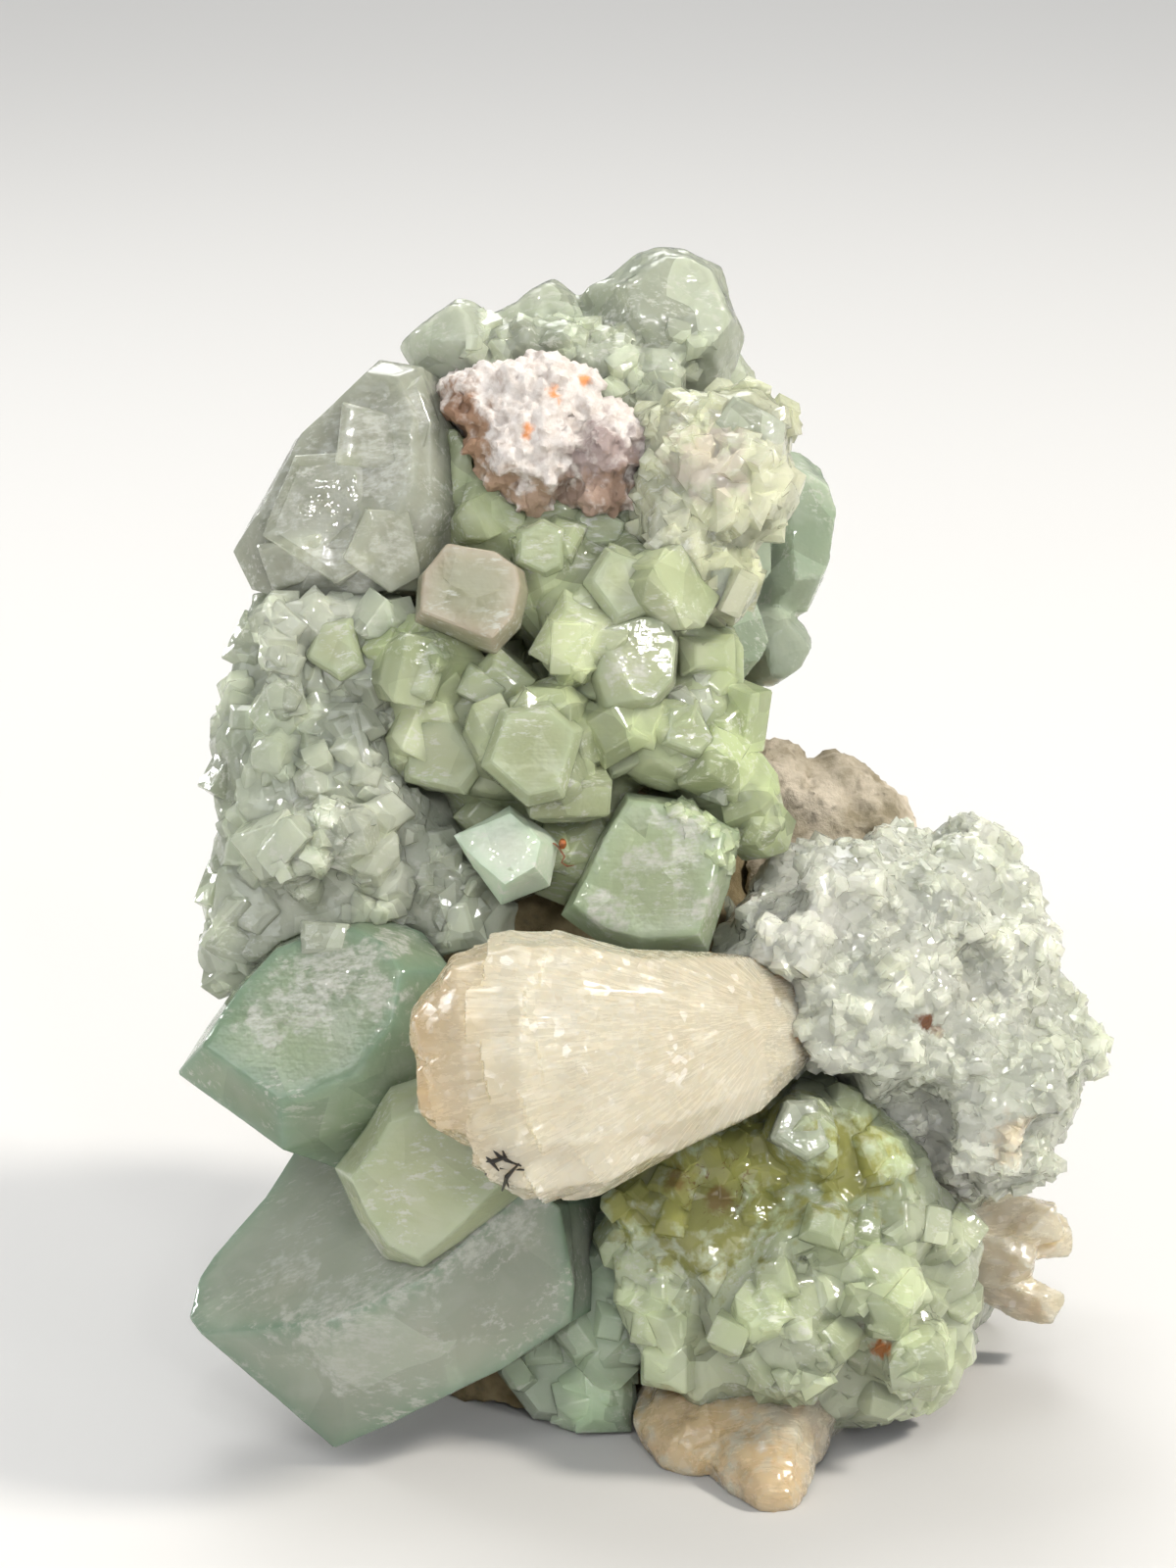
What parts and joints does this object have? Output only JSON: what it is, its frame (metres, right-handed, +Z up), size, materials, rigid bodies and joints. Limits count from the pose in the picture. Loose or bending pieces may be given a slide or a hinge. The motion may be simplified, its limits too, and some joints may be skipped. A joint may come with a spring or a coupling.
{
  "type": "apophyllite cluster",
  "caption": "Upright cluster of pale green apophyllite crystals with a peach stilbite sheaf and a white druse crust on its host rock, resting on a flat broken base.",
  "frame": {"origin": "centre of the bounding box in X and Y, on the surface that the cluster stands on", "axes": "+Z up, +X to the right and +Y away from someone who looks at the side with the stilbite sheaf"},
  "size_m": [0.0792, 0.0708, 0.0975],
  "materials": {
    "rock": "rough, matt, beige-brown basalt and clay",
    "stilbite": "pearly, cream to peach, finely ribbed",
    "druse": "matt, white, finely crystalline, brown and orange stains",
    "clear_apophyllite": "glassy, nearly colourless with milky veils",
    "green_apophyllite": "glassy, pale mint green, teal at the edges",
    "yellow_apophyllite": "glassy, pale yellow-green",
    "sugary_apophyllite": "sparkling, frosted, many small facets"
  },
  "bodies": {
    "root": {"matrix_rock": "rock", "pale_rock": "rock", "stilbite_sheaf": "stilbite", "druse_crust": "druse", "apophyllite_great_blade": "clear_apophyllite", "apophyllite_green_block": "green_apophyllite", "apophyllite_yellow_cube": "yellow_apophyllite", "apophyllite_mint_point": "green_apophyllite", "apophyllite_big_rhomb": "green_apophyllite", "apophyllite_pale_cube": "yellow_apophyllite", "stilbite_pink_block": "stilbite", "apophyllite_left_plate": "clear_apophyllite", "apophyllite_crown": "clear_apophyllite", "apophyllite_shoulder": "sugary_apophyllite", "apophyllite_dome": "sugary_apophyllite", "apophyllite_centre": "yellow_apophyllite", "apophyllite_left_flank": "clear_apophyllite", "apophyllite_back_right": "green_apophyllite", "apophyllite_fan": "yellow_apophyllite", "apophyllite_base": "green_apophyllite", "stilbite_foot": "stilbite", "stilbite_sprig": "stilbite", "stilbite_spray": "stilbite", "apophyllite_back_top": "clear_apophyllite", "apophyllite_back_left": "green_apophyllite", "apophyllite_back_low": "clear_apophyllite", "apophyllite_right_side": "green_apophyllite"}
  },
  "joints": []
}
